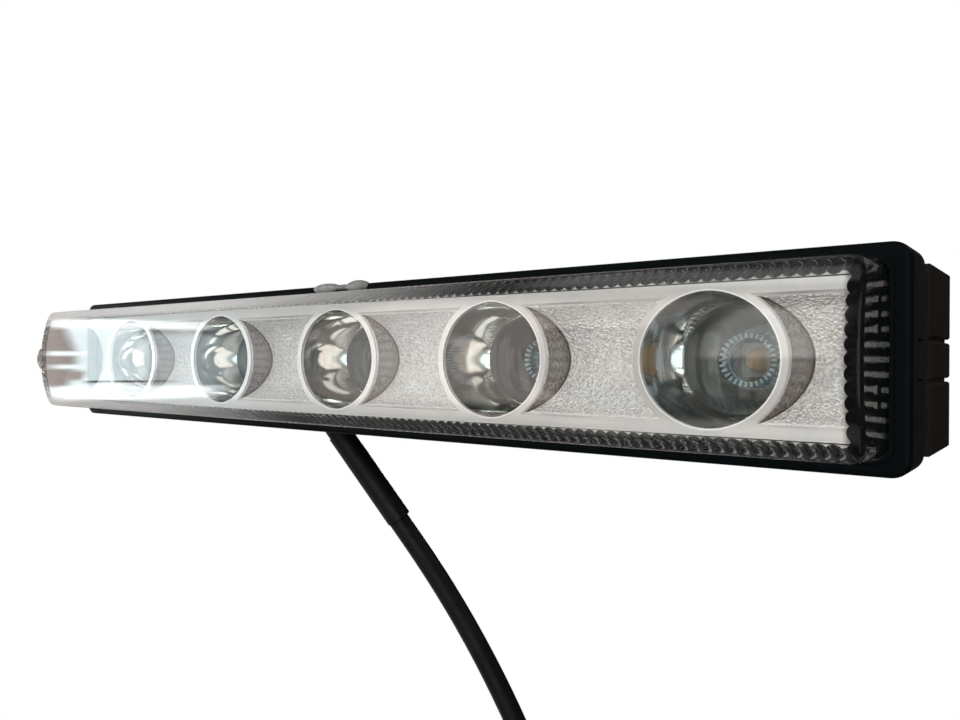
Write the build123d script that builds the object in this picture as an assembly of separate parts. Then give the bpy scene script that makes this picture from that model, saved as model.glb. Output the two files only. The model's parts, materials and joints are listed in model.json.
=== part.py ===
from build123d import *
from math import asin, cos, pi, sin
import os

# LED light bar: five projector optics in a row behind a deep clear cover, in a long black housing.
# Frame: X runs along the bar, -Y is the way the light leaves, +Z is up, all in mm.
# The origin is the centre of the flat rear face, where the bar is bolted down.
# "Depth" below is the distance behind the front plane of the bezel; at() turns it into Y.

# ---------------------------------------------------------------- driving dimensions
BODY_DEPTH = 48.0            # bezel front plane to rear face
LED_PITCH = 45.0             # distance between neighbouring optics
LED_COUNT = 5

BEZEL_HALF_L = 120.4
BEZEL_HALF_H = 18.7
BEZEL_CORNER_R = 3.0
BEZEL_SKIRT_DEPTH = 12.0
BEZEL_LIP_T = 1.6            # thickness of the front lip over the cover's flange
BEZEL_SKIRT_HALF_L = 119.0   # inside of the skirt
BEZEL_SKIRT_HALF_H = 17.2
BEZEL_EDGE_R = 0.9
OPENING_GAP = 0.2            # play between the cover wall and the bezel's opening
RIDGE_H = 0.4                # raised bead round the opening
RIDGE_W = 0.6

COVER_BASE_HALF_L = 117.15   # outside of the cover wall where it leaves the bezel
COVER_BASE_HALF_H = 15.9
COVER_FRONT_HALF_L = 117.1
COVER_FRONT_HALF_H = 15.1
COVER_CORNER_R = 2.3
COVER_EDGE_R = 0.8
COVER_APEX = -19.0           # depth of the crown line
COVER_CROWN = 3.1            # how far the crown stands ahead of the long edges
COVER_FRONT_T = 1.8
COVER_FLANGE_HALF_L = 118.7
COVER_FLANGE_HALF_H = 17.0
COVER_FLANGE_D0 = 1.6
COVER_FLANGE_D1 = 3.4
COVER_NOSE_DEPTH = -21.0     # plane ahead of the crown where the drafted walls are drawn
VALLEY_BASE_HALF_L = 115.9   # inner wall at the flange, bottom of the grooves between flutes
VALLEY_BASE_HALF_H = 14.7
VALLEY_NOSE_HALF_L = 114.8   # the same at the nose plane: the core draws out backwards
VALLEY_NOSE_HALF_H = 12.1
VALLEY_CORNER_L = 1.25       # plain corner left between the rows of flutes
VALLEY_CORNER_H = 1.1
FLUTE_H = 0.5
FLUTES_LONG = 113
FLUTES_END = 11
GATE_HALF_W = 3.2            # trimmed moulding gate on the left end, by the crown
GATE_TIP_HALF_W = 0.9
GATE_PROUD = 1.2

SEAL_D1 = 4.6                # the seal lies between cover flange and housing rim
SEAL_MARGIN = 0.2            # the seal stays this far outside the cavity

RIM_HALF_L = 118.8           # housing rim inside the bezel skirt
RIM_HALF_H = 17.0
RIM_PLAY = 0.1               # the seal stays this far inside the rim
BODY_HALF_L = 119.4
BODY_HALF_H = 17.3
BODY_CORNER_R = 2.8
BODY_REAR_R = 1.6
COLLAR_HALF_L = 120.3        # sloped collar right behind the bezel
COLLAR_HALF_H = 18.5
COLLAR_START = 12.2
COLLAR_END = 24.0
CAVITY_HALF_L = 116.2
CAVITY_HALF_H = 14.7
CAVITY_CORNER_R = 1.2
REAR_WALL = 2.2
PAD_T = 0.8                  # raised panels on the end walls
PAD_ROOT = 2.6               # how far the panels reach into the wall
PAD_MARGIN = 0.35
PAD_OVERLAP = 2.0            # they start this far ahead of the collar's end
PAD_GROOVE_Z = 3.75
PAD_GROOVE_W = 0.7
PAD_BEVEL = 0.35
PAD_REAR_GAP = 1.2
REAR_POCKETS = [(-64.0, -12.0), (12.0, 29.0), (47.0, 64.0)]     # X ranges sunk into the rear face
REAR_POCKET_HALF_H = 10.5
REAR_POCKET_DEPTH = 0.8

REFL_HALF_L = 115.0
REFL_HALF_H = 13.4
REFL_FRONT = -1.7
REFL_BACK = 5.4
TROUGH_HALF_H = 11.3
TROUGH_DEPTH = 5.5
RING_R = 12.1                # clear opening of each optic
RING_OUTER_R = 13.4
TUBE_FLARE = 2.4             # extra radius of the tube at the bottom of the trough
RING_LIP_T = 1.0
RAIL_STEP = 0.3              # sunk border along the top and bottom edges of the reflector
RAIL_BORDER = 0.7
REFL_CORNER_R = 1.4
CUP_PLAY = 0.05

CUP_OUTER_R = 12.85
CUP_STEP_D0 = 5.6            # behind the reflector the cup narrows to its tail
CUP_STEP_D1 = 6.6
CUP_TAIL_R = 12.7
CUP_SEAT_R = 11.45
CUP_REAR_R = 10.4
CUP_BULGE = 0.12             # how far the mirror bows outward between its two ends
LENS_R = 11.4                # nearly a half ball, flat side toward the emitter
LENS_RIM_D0 = 19.2
LENS_RIM_D1 = 20.4
LENS_APEX = 8.0

LED_BOARD_D0 = 24.0
LED_BOARD_T = 1.6
LED_BOARD_HALF_L = 112.0
LED_BOARD_HALF_H = 12.2
PAD_SHEET_T = 0.5
PAD_SHEET_MARGIN_L = 1.0
PAD_SHEET_MARGIN_H = 0.7
SINK_BASE_T = 3.5
SINK_HALF_L = 113.5
SINK_HALF_H = 13.2
FIN_H = 5.4
FIN_T = 1.2
FIN_PITCH = 5.0
FIN_REACH = 104.0            # no fin lies further out than this
FIN_MARGIN = 1.2
FIN_ROOT = 0.2
PLATE_CORNER_R = 1.5         # corners of the boards and the heat sink

TOOTH_RING_R = 3.35          # toothed ring round each emitter
TOOTH_RING_BORE = 2.6
TOOTH_RING_D0 = 22.2
TOOTH_COUNT = 30
TOOTH_MID_R = 3.0
TOOTH_L = 0.65
TOOTH_W = 0.3
TOOTH_RISE = 1.2
TOOTH_ROOT = 0.2
PACKAGE_HALF = 1.75
PACKAGE_T = 0.9
DOME_R = 1.3

DRIVER_D0 = 37.0
DRIVER_T = 1.6
DRIVER_HALF_L = 62.0
DRIVER_HALF_H = 11.5
DRIVER_FACE = DRIVER_D0 + DRIVER_T
LIGHT_CHIPS = [(14.0, 3.5), (14.0, -5.0)]
LIGHT_CHIP_SIZE = (2.5, 2.0, 1.5)        # half length, half height, thickness
POWER_CHIP = (-46.0, 0.0)
POWER_CHIP_SIZE = (3.2, 2.6, 2.2)
INDUCTOR_X = -30.0
INDUCTOR_R = 5.6
INDUCTOR_BORE_R = 2.2
INDUCTOR_H = 5.2
INDUCTOR_WAIST_R = 4.6
INDUCTOR_WAIST = (1.2, 4.0)              # heights between which the core is waisted
COIL_R = 5.4
COIL_CLEARANCE = 0.05
COIL_INSET = 0.1
CAN_SPOTS = [(-13.0, 5.0), (-13.0, -5.0), (46.5, 0.0)]
CAN_R = 3.15
CAN_H = 5.4
CAN_GROOVE = (1.0, 1.5)
CAN_GROOVE_DEPTH = 0.2

POST_XS = [-108.5, -67.5, -22.5, 22.5, 67.5, 108.5]
POST_R = 2.6
POST_ROOT = 1.0
POST_BORE_R = 1.35
POST_BORE_LENGTH = 10.0
ENGINE_HOLE_R = 1.7
REAR_SCREW_X = 96.0
REAR_SCREW_Z = 8.0
REAR_BOSS_R = 4.2
REAR_SCREW_HOLE_R = 2.05
REAR_HEAD_POCKET_R = 4.0
REAR_HEAD_POCKET = 3.0
BOSS_ROOT = 0.5              # bosses reach this far into the rear wall
SINK_THREAD_R = 1.9
DRIVER_SCREW_X = 56.0
DRIVER_SCREW_Z = 8.0
DRIVER_HOLE_R = 1.4
DRIVER_THREAD_R = 1.2
DRIVER_THREAD_LENGTH = 2.5
SPACER_R = 2.5
SPACER_BORE_R = 1.35
# Each screw: head radius, head height, shank radius.
ENGINE_SCREW = (2.7, 1.8, 1.3)
REAR_SCREW = (3.7, 2.2, 1.85)
DRIVER_SCREW = (2.3, 1.5, 1.15)
ENGINE_SCREW_REACH = 8.0     # how far the shank runs ahead of the LED board
REAR_SCREW_STOP = 0.3
DRIVER_SCREW_REACH = 2.2
SLOT_LENGTH = 0.55           # cross recess, as shares of the head's radius and height
SLOT_WIDTH = 0.13
SLOT_DEPTH = 0.55
HEAD_ROUND = 0.35

INSERT_SPACING = 150.0
INSERT_R = 3.4
INSERT_BORE_R = 2.1          # core of an M5 thread
INSERT_LENGTH = 10.0
INSERT_BORE_LENGTH = 9.0
INSERT_BOSS_R = 5.6
INSERT_BOSS_CAP = 2.0
INSERT_LEAD = 0.4
INSERT_GROOVE = (4.0, 5.8)   # knurl groove, measured from the inner end
INSERT_GROOVE_DEPTH = 0.35

CLIP_X = 62.0
CLIP_W = 11.0
CLIP_PROUD = 0.6
END_CLIP_W = 6.0
END_CLIP_PROUD = 0.3
WINDOW_PLAY = 0.4
WINDOW_D0 = 5.6
WINDOW_D1 = 10.0
WINDOW_REACH = 1.5           # the cutters stick out this far on both sides of the skirt
HOOK_TOE = 6.0               # depths along a snap hook
HOOK_STEP = 6.6
HOOK_CREST = 8.6
HOOK_HEEL = 9.6
HOOK_STEP_SHARE = 0.55

CABLE_R = 3.0
SLEEVE_R = 3.55
GROMMET_X = -22.2            # where the cable leaves the underside
GROMMET_DEPTH = 18.7
GROMMET_HOLE_R = 4.6
GROMMET_FLANGE_R = 6.4
GROMMET_FLANGE_T = 1.5
GROMMET_PLAY = 0.2           # play round the flange where it is let into the sloped collar
COLLAR_DROP = 2.0            # the cutters start this far below the underside
SLEEVE_START = 13.0          # distances along the cable from its inner end
SLEEVE_END = 42.5
SLEEVE_ASIDE = 0.45          # the sleeve lies off centre, thicker toward +X
SLEEVE_EDGE_R = 0.35
GROMMET_EDGE_R = 0.8
GROMMET_COLLAR_EXTRA = 0.9
GROMMET_COLLAR_T = 1.4
CORE_R = 0.9
CORE_BARE_R = 0.5
CORE_ASIDE = 1.3             # distance of each core from the cable's centre line
CORE_GAP = 0.02
CORE_RISE = 4.0
CORE_BEND_R = 1.4
TAIL_STRAIGHT = 3.0
TAIL_LENGTH = 12.0
TAIL_BEND_R = 6.0
TAIL_SPREAD = 0.25
TIP_LENGTH = 6.0
VENT_X = 38.0
VENT_HOLE_R = 3.0
VENT_SEAT_R = 4.6
VENT_SEAT_DEPTH = 1.0
VENT_CAP_R = 4.4
VENT_STEM_R = 2.9
VENT_BORE_R = 1.6
VENT_STEM_REACH = 1.2
VENT_CAP_SINK = 0.2
VENT_GROOVES = 3
VENT_GROOVE_R = 1.0
VENT_GROOVE_W = 0.3
VENT_GROOVE_PITCH = 1.1

# Cable centre line as (X, depth, Z): straight out through the underside, then one long hanging arc.
CABLE_INNER_END = (-26.0, 16.0, -10.5)
CABLE_BEND = (-2.5, 32.4, -50.9)
CABLE_OUTER_END = (26.5, 50.0, -112.0)

SINK_D0 = LED_BOARD_D0 + LED_BOARD_T + PAD_SHEET_T
SINK_D1 = SINK_D0 + SINK_BASE_T
LED_XS = [(i - (LED_COUNT - 1) / 2) * LED_PITCH for i in range(LED_COUNT)]
REAR_SCREWS = [(sx * REAR_SCREW_X, sz * REAR_SCREW_Z) for sx in (-1, 1) for sz in (-1, 1)]
DRIVER_SCREWS = [(sx * DRIVER_SCREW_X, sz * DRIVER_SCREW_Z) for sx in (-1, 1) for sz in (-1, 1)]
INSERT_XS = [-INSERT_SPACING / 2, INSERT_SPACING / 2]
LINK_PINS = [(19.0, -8.5), (25.0, -8.5)]
LINK_PIN_R = 0.6
LINK_HOLE_R = 0.62
LINK_CLEAR_R = 2.2
LINK_BUSH_R = 2.1
LINK_BUSH_BORE_R = 0.65
LINK_BUSH_TAIL = 2.0
LINK_PIN_FRONT = 1.4         # the pins stand out this far from either board
LINK_PIN_REAR = 1.2
# Each lump of sealant on the upper front edge of the bezel: X, half length, half depth, half height.
SEALANT_LUMPS = [(-5.6, 4.6, 2.2, 1.4), (0.2, 4.2, 1.5, 0.8), (4.9, 3.8, 2.0, 1.6)]
SEALANT_DEPTH = 0.7
WIRE_SLOT = (-28.0, -9.6, 7.0, 8.8)      # X, Z, width, height of the slot the cores pass through
# X positions the fins keep away from, and by how much.
FIN_GAPS = [(x, 5.0) for x in POST_XS] + [(x, 7.5) for x in INSERT_XS]
FIN_GAPS += [(-REAR_SCREW_X, 6.0), (REAR_SCREW_X, 6.0), (-DRIVER_SCREW_X, 4.5), (DRIVER_SCREW_X, 4.5)]
FIN_GAPS += [(WIRE_SLOT[0], 6.5), (22.0, 6.5)]


# ---------------------------------------------------------------- helpers
def at(depth):
    """Y of a plane that lies `depth` behind the bezel's front plane."""
    return depth - BODY_DEPTH


def front_plane(depth):
    """Sketch plane with local x = X, local y = Z, facing the light's way."""
    return Plane(origin=(0, at(depth), 0), x_dir=(1, 0, 0), z_dir=(0, -1, 0))


def prism(sketch, d0, d1):
    """Extrude an X-Z sketch from depth d0 to depth d1."""
    return extrude(front_plane(d1) * sketch, amount=d1 - d0)


def slab(half_l, half_h, d0, d1, r=0.0):
    outline = RectangleRounded(2 * half_l, 2 * half_h, r) if r else Rectangle(2 * half_l, 2 * half_h)
    return prism(outline, d0, d1)


def block(x0, x1, z0, z1, d0, d1):
    return Pos((x0 + x1) / 2, at((d0 + d1) / 2), (z0 + z1) / 2) * Box(x1 - x0, d1 - d0, z1 - z0)


def rod(x, z, r, d0, d1):
    """Cylinder along Y."""
    return prism(Pos(x, z) * Circle(r), d0, d1)


def tube(x, z, r_out, r_in, d0, d1):
    return rod(x, z, r_out, d0, d1) - rod(x, z, r_in, d0, d1)


def turned(edges):
    """Solid of revolution about the Y axis from edges drawn as (radius, Y)."""
    return revolve(make_face(edges), Axis.Y)


def ring_points(points):
    return [(r, at(d)) for r, d in points]


def chain(points):
    """Straight edges through (radius, depth) points, closed at the end."""
    flat = ring_points(points)
    return Polyline(*flat, close=True).edges()


def join(parts):
    total = parts[0]
    for part in parts[1:]:
        total = total + part
    return total


def crown_cylinder(inset):
    """Long cylinder whose front gives the cover its crowned face."""
    chord = COVER_FRONT_HALF_H
    radius = (chord**2 + COVER_CROWN**2) / (2 * COVER_CROWN)
    centre = Location((0, at(COVER_APEX + radius), 0), (0, 90, 0))
    return centre * Cylinder(radius - inset, 2 * BEZEL_HALF_L + 10)


# ---------------------------------------------------------------- clear cover
def flute_row(count, half, place):
    """Round flutes side by side from -half to +half; place() puts (along, rise) into the outline."""
    pitch = 2 * half / count
    arcs = []
    for i in range(count):
        s0 = -half + i * pitch
        arcs.append(ThreePointArc(place(s0, 0), place(s0 + pitch / 2, FLUTE_H), place(s0 + pitch, 0)))
    return arcs


def flute_outline(a, b):
    """Inner outline of the cover, a x b: rows of flutes bulging inward, plain round corners."""
    long_half = a - VALLEY_CORNER_L
    end_half = b - VALLEY_CORNER_H
    edges = flute_row(FLUTES_LONG, long_half, lambda s, h: (s, b - h))
    edges.append(corner_arc(long_half, b, a, end_half))
    edges += flute_row(FLUTES_END, end_half, lambda s, h: (a - h, -s))
    edges.append(corner_arc(long_half, -b, a, -end_half))
    edges += flute_row(FLUTES_LONG, long_half, lambda s, h: (-s, h - b))
    edges.append(corner_arc(-long_half, -b, -a, -end_half))
    edges += flute_row(FLUTES_END, end_half, lambda s, h: (h - a, s))
    edges.append(corner_arc(-long_half, b, -a, end_half))
    return make_face(edges)


def corner_arc(x0, z0, x1, z1):
    """Convex corner between the end of one row of flutes and the start of the next."""
    bulge = 1 - 1 / 2**0.5
    xm = x1 + (x0 - x1) * bulge
    zm = z0 + (z1 - z0) * bulge
    return ThreePointArc((x0, z0), (xm, zm), (x1, z1))


def cover_wall():
    """Solid block inside the drafted outer walls and the crowned face."""
    base = front_plane(COVER_FLANGE_D1) * RectangleRounded(
        2 * COVER_BASE_HALF_L, 2 * COVER_BASE_HALF_H, COVER_CORNER_R)
    nose = front_plane(COVER_NOSE_DEPTH) * RectangleRounded(
        2 * COVER_FRONT_HALF_L, 2 * COVER_FRONT_HALF_H, COVER_CORNER_R)
    wall = loft([base, nose]) & crown_cylinder(0)
    front_rim = at(COVER_APEX + COVER_CROWN + 1)
    return fillet([e for e in wall.edges() if e.center().Y < front_rim], COVER_EDGE_R)


def cover_gate():
    """Stub of the moulding gate at the middle of the left end."""
    root = -COVER_FRONT_HALF_L + 0.6
    tip = -COVER_FRONT_HALF_L - GATE_PROUD
    outline = Polyline((root, -GATE_HALF_W), (tip, -GATE_TIP_HALF_W), (tip, GATE_TIP_HALF_W),
                       (root, GATE_HALF_W), close=True)
    return prism(make_face(outline.edges()), COVER_APEX - 0.4, COVER_APEX + 1.4)


def lens_cover():
    base = front_plane(COVER_FLANGE_D1) * flute_outline(VALLEY_BASE_HALF_L, VALLEY_BASE_HALF_H)
    nose = front_plane(COVER_NOSE_DEPTH) * flute_outline(VALLEY_NOSE_HALF_L, VALLEY_NOSE_HALF_H)
    cavity = loft([base, nose], ruled=True) & crown_cylinder(COVER_FRONT_T)
    flange = slab(COVER_FLANGE_HALF_L, COVER_FLANGE_HALF_H, COVER_FLANGE_D0, COVER_FLANGE_D1,
                  COVER_CORNER_R)
    return cover_wall() + flange + cover_gate() - cavity


# ---------------------------------------------------------------- seal, bezel, housing
def lens_seal():
    outer = slab(RIM_HALF_L - RIM_PLAY, RIM_HALF_H - RIM_PLAY, COVER_FLANGE_D1, SEAL_D1, COVER_CORNER_R)
    inner_l = CAVITY_HALF_L + SEAL_MARGIN
    inner_h = CAVITY_HALF_H + SEAL_MARGIN
    return outer - slab(inner_l, inner_h, COVER_FLANGE_D1, SEAL_D1, CAVITY_CORNER_R)


def bezel_frame():
    frame = slab(BEZEL_HALF_L, BEZEL_HALF_H, 0, BEZEL_SKIRT_DEPTH, BEZEL_CORNER_R)
    frame = fillet(frame.faces().sort_by(Axis.Y)[0].outer_wire().edges(), BEZEL_EDGE_R)
    open_l = COVER_BASE_HALF_L + OPENING_GAP
    open_h = COVER_BASE_HALF_H + OPENING_GAP
    ridge = slab(open_l + RIDGE_W, open_h + RIDGE_W, -RIDGE_H, OPENING_GAP, COVER_CORNER_R + RIDGE_W)
    ridge = fillet(ridge.faces().sort_by(Axis.Y)[0].outer_wire().edges(), RIDGE_H / 2)
    frame = frame + ridge
    frame = frame - slab(open_l, open_h, -RIDGE_H, BEZEL_LIP_T, COVER_CORNER_R + OPENING_GAP)
    frame = frame - slab(
        BEZEL_SKIRT_HALF_L, BEZEL_SKIRT_HALF_H, BEZEL_LIP_T, BEZEL_SKIRT_DEPTH, COVER_CORNER_R)
    for window in clip_windows():
        frame = frame - window
    return frame


def clip_windows():
    """Windows in the skirt, one for each snap hook of the housing."""
    windows = []
    half = CLIP_W / 2 + WINDOW_PLAY
    end_half = END_CLIP_W / 2 + WINDOW_PLAY
    for sx in (-1, 1):
        x = sx * CLIP_X
        for sz in (-1, 1):
            z0, z1 = sorted((sz * (BEZEL_SKIRT_HALF_H - WINDOW_REACH), sz * (BEZEL_HALF_H + WINDOW_REACH)))
            windows.append(block(x - half, x + half, z0, z1, WINDOW_D0, WINDOW_D1))
        x0, x1 = sorted((sx * (BEZEL_SKIRT_HALF_L - WINDOW_REACH), sx * (BEZEL_HALF_L + WINDOW_REACH)))
        windows.append(block(x0, x1, -end_half, end_half, WINDOW_D0, WINDOW_D1))
    return windows


def hook(width, height):
    """Wedge with a steep rear flank, rising along +Z from the plane z = 0, lying along X."""
    profile = Polyline((HOOK_TOE, 0), (HOOK_STEP, height * HOOK_STEP_SHARE), (HOOK_CREST, height),
                       (HOOK_HEEL, height), (HOOK_HEEL, 0), close=True)
    side = Plane(origin=(-width / 2, 0, 0), x_dir=(0, 1, 0), z_dir=(1, 0, 0))
    wedge = extrude(side * make_face(profile.edges()), amount=width)
    return Pos(0, -BODY_DEPTH, 0) * wedge


def snap_hooks():
    rise = BEZEL_HALF_H - RIM_HALF_H + CLIP_PROUD
    end_rise = BEZEL_HALF_L - RIM_HALF_L + END_CLIP_PROUD
    hooks = []
    for sx in (-1, 1):
        for sz in (-1, 1):
            turn = 0 if sz > 0 else 180
            hooks.append(Pos(sx * CLIP_X, 0, sz * RIM_HALF_H) * Rot(0, turn, 0) * hook(CLIP_W, rise))
        hooks.append(Pos(sx * RIM_HALF_L, 0, 0) * Rot(0, sx * 90, 0) * hook(END_CLIP_W, end_rise))
    return hooks


def end_pads():
    """Three raised panels on each end wall, parted by two grooves."""
    top = BODY_HALF_H - PAD_MARGIN
    low = PAD_GROOVE_Z - PAD_GROOVE_W / 2
    high = PAD_GROOVE_Z + PAD_GROOVE_W / 2
    pads = []
    for sx in (-1, 1):
        x0, x1 = sorted((sx * (BODY_HALF_L - PAD_ROOT), sx * (BODY_HALF_L + PAD_T)))
        for z0, z1 in ((-top, -high), (-low, low), (high, top)):
            pad = block(x0, x1, z0, z1, COLLAR_END - PAD_OVERLAP, BODY_DEPTH - PAD_REAR_GAP)
            outer = pad.faces().sort_by(Axis.X)[-1 if sx > 0 else 0]
            pads.append(chamfer(outer.edges(), PAD_BEVEL))
    return pads


def body_shell():
    rim = slab(RIM_HALF_L, RIM_HALF_H, SEAL_D1, COLLAR_START + 1, COVER_CORNER_R)
    main = slab(BODY_HALF_L, BODY_HALF_H, COLLAR_START, BODY_DEPTH, BODY_CORNER_R)
    main = fillet(main.faces().sort_by(Axis.Y)[-1].outer_wire().edges(), BODY_REAR_R)
    wide = front_plane(COLLAR_START) * RectangleRounded(
        2 * COLLAR_HALF_L, 2 * COLLAR_HALF_H, BEZEL_CORNER_R)
    narrow = front_plane(COLLAR_END) * RectangleRounded(
        2 * BODY_HALF_L, 2 * BODY_HALF_H, BODY_CORNER_R)
    shell = rim + main + loft([wide, narrow])
    for pad in end_pads():
        shell = shell + pad
    return shell - slab(CAVITY_HALF_L, CAVITY_HALF_H, SEAL_D1, BODY_DEPTH - REAR_WALL, CAVITY_CORNER_R)


def rear_bosses():
    """Bosses inside the rear wall for the four long screws and the two threaded inserts."""
    root = BODY_DEPTH - REAR_WALL + BOSS_ROOT
    bosses = [rod(x, z, REAR_BOSS_R, SINK_D1, root) for x, z in REAR_SCREWS]
    cap = BODY_DEPTH - INSERT_LENGTH - INSERT_BOSS_CAP
    return bosses + [rod(x, 0, INSERT_BOSS_R, cap, root) for x in INSERT_XS]


def rear_openings():
    """Everything cut into the rear face: screw holes, insert bores, shallow pockets, vent."""
    cuts = []
    for x, z in REAR_SCREWS:
        cuts.append(rod(x, z, REAR_SCREW_HOLE_R, SINK_D1, BODY_DEPTH))
        cuts.append(rod(x, z, REAR_HEAD_POCKET_R, BODY_DEPTH - REAR_HEAD_POCKET, BODY_DEPTH))
    for x in INSERT_XS:
        cuts.append(rod(x, 0, INSERT_R, BODY_DEPTH - INSERT_LENGTH, BODY_DEPTH))
    floor = BODY_DEPTH - REAR_POCKET_DEPTH
    for x0, x1 in REAR_POCKETS:
        cuts.append(block(x0, x1, -REAR_POCKET_HALF_H, REAR_POCKET_HALF_H, floor, BODY_DEPTH))
    cuts.append(rod(VENT_X, 0, VENT_HOLE_R, BODY_DEPTH - REAR_WALL, BODY_DEPTH))
    cuts.append(rod(VENT_X, 0, VENT_SEAT_R, BODY_DEPTH - VENT_SEAT_DEPTH, BODY_DEPTH))
    return cuts


def housing():
    body = join([body_shell()] + snap_hooks() + rear_bosses())
    for cut in rear_openings():
        body = body - cut
    below = -BODY_HALF_H - COLLAR_DROP
    body = body - grommet_rod(GROMMET_FLANGE_R + GROMMET_PLAY, below, -BODY_HALF_H)
    return body - grommet_rod(GROMMET_HOLE_R, below, -CAVITY_HALF_H + COLLAR_DROP / 4)


def grommet_rod(r, z0, z1):
    """Vertical cylinder on the grommet's axis."""
    return Pos(GROMMET_X, at(GROMMET_DEPTH), (z0 + z1) / 2) * Cylinder(r, z1 - z0)


# ---------------------------------------------------------------- reflector and optics
def trough():
    radius = (TROUGH_HALF_H**2 + TROUGH_DEPTH**2) / (2 * TROUGH_DEPTH)
    centre = REFL_FRONT + TROUGH_DEPTH - radius
    return Location((0, at(centre), 0), (0, 90, 0)) * Cylinder(radius, 2 * REFL_HALF_L + 4)


def ring_cone(x):
    """Flared outer form of one ring's tube."""
    slope = TUBE_FLARE / TROUGH_DEPTH
    outer = RING_OUTER_R + slope * (REFL_BACK + 1 - REFL_FRONT)
    front = REFL_FRONT - 0.01
    cone = turned(chain([(0, front), (RING_OUTER_R, front), (outer, REFL_BACK + 1), (0, REFL_BACK + 1)]))
    return Pos(x, 0, 0) * cone


def border_step():
    """Ring that lowers a narrow border along the reflector's long edges."""
    floor = REFL_FRONT + RAIL_STEP
    outer = slab(REFL_HALF_L + 1, REFL_HALF_H + 1, REFL_FRONT - 1, floor)
    return outer - slab(REFL_HALF_L + 2, REFL_HALF_H - RAIL_BORDER, REFL_FRONT - 2, floor + 1)


def reflector():
    body = slab(REFL_HALF_L, REFL_HALF_H, REFL_FRONT, REFL_BACK, REFL_CORNER_R)
    cut = trough()
    for x in LED_XS:
        cut = cut - ring_cone(x)
    body = body - cut - border_step()
    for x in LED_XS:
        body = body - rod(x, 0, RING_R, REFL_FRONT, REFL_BACK)
        body = body - rod(x, 0, CUP_OUTER_R + CUP_PLAY, REFL_FRONT + RING_LIP_T, REFL_BACK)
    for x in POST_XS:
        body = body + rod(x, 0, POST_R, REFL_BACK - POST_ROOT, LED_BOARD_D0)
    for x in POST_XS:
        body = body - rod(x, 0, POST_BORE_R, LED_BOARD_D0 - POST_BORE_LENGTH, LED_BOARD_D0)
    return body


def projector_cup(x):
    front = REFL_FRONT + RING_LIP_T
    outline = ring_points([
        (CUP_SEAT_R, LENS_RIM_D0), (CUP_SEAT_R, LENS_RIM_D1), (CUP_REAR_R, LENS_RIM_D1),
        (CUP_REAR_R, LED_BOARD_D0), (CUP_TAIL_R, LED_BOARD_D0), (CUP_TAIL_R, CUP_STEP_D1),
        (CUP_OUTER_R, CUP_STEP_D0), (CUP_OUTER_R, front), (RING_R, front)])
    mirror_mid = ((RING_R + CUP_SEAT_R) / 2 + CUP_BULGE, at((front + LENS_RIM_D0) / 2))
    edges = Polyline(*outline).edges() + [ThreePointArc(outline[-1], mirror_mid, outline[0])]
    return Pos(x, 0, 0) * turned(edges)


def projector_lens(x):
    """Deep plano-convex lens: domed toward the front, short cylindrical rim, flat rear."""
    sag = LENS_RIM_D0 - LENS_APEX
    radius = (LENS_R**2 + sag**2) / (2 * sag)
    half_angle = asin(LENS_R / radius) / 2
    middle = (radius * sin(half_angle), at(LENS_APEX + radius * (1 - cos(half_angle))))
    rim = (LENS_R, at(LENS_RIM_D0))
    apex = (0, at(LENS_APEX))
    base = [(LENS_R, at(LENS_RIM_D1)), (0, at(LENS_RIM_D1))]
    edges = Polyline(rim, *base, apex).edges() + [ThreePointArc(apex, middle, rim)]
    return Pos(x, 0, 0) * turned(edges)


def led_collar(x):
    """Toothed ring round one emitter, standing on the LED board."""
    ring = tube(x, 0, TOOTH_RING_R, TOOTH_RING_BORE, TOOTH_RING_D0, LED_BOARD_D0)
    for i in range(TOOTH_COUNT):
        angle = 360 * i / TOOTH_COUNT
        tooth = Pos(TOOTH_MID_R, 0) * Rectangle(TOOTH_L, TOOTH_W)
        ring = ring + prism(Pos(x, 0) * Rot(0, 0, angle) * tooth, TOOTH_RING_D0 - TOOTH_RISE,
                            TOOTH_RING_D0 + TOOTH_ROOT)
    return ring


def led_package(x):
    return slab_at(x, 0, PACKAGE_HALF, PACKAGE_HALF, LED_BOARD_D0 - PACKAGE_T, LED_BOARD_D0)


def slab_at(x, z, half_l, half_h, d0, d1):
    return block(x - half_l, x + half_l, z - half_h, z + half_h, d0, d1)


def led_dome(x):
    foot = LED_BOARD_D0 - PACKAGE_T
    lean = DOME_R * sin(pi / 4)
    edges = Polyline((0, at(foot - DOME_R)), (0, at(foot)), (DOME_R, at(foot))).edges()
    arc = ThreePointArc((DOME_R, at(foot)), (lean, at(foot - lean)), (0, at(foot - DOME_R)))
    return Pos(x, 0, 0) * turned(edges + [arc])


# ---------------------------------------------------------------- boards and heat sink
def wire_slot(d0, d1):
    x, z, w, h = WIRE_SLOT
    return block(x - w / 2, x + w / 2, z - h / 2, z + h / 2, d0, d1)


def led_board():
    d0, d1 = LED_BOARD_D0, LED_BOARD_D0 + LED_BOARD_T
    board = slab(LED_BOARD_HALF_L, LED_BOARD_HALF_H, d0, d1, PLATE_CORNER_R) - wire_slot(d0, d1)
    for x in POST_XS:
        board = board - rod(x, 0, ENGINE_HOLE_R, d0, d1)
    for x, z in LINK_PINS:
        board = board - rod(x, z, LINK_HOLE_R, d0, d1)
    return board


def thermal_pad():
    d0, d1 = LED_BOARD_D0 + LED_BOARD_T, SINK_D0
    half_l = LED_BOARD_HALF_L - PAD_SHEET_MARGIN_L
    half_h = LED_BOARD_HALF_H - PAD_SHEET_MARGIN_H
    pad = slab(half_l, half_h, d0, d1, PLATE_CORNER_R) - wire_slot(d0, d1)
    for x in POST_XS:
        pad = pad - rod(x, 0, ENGINE_HOLE_R, d0, d1)
    for x, z in LINK_PINS:
        pad = pad - rod(x, z, LINK_CLEAR_R, d0, d1)
    return pad


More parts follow.
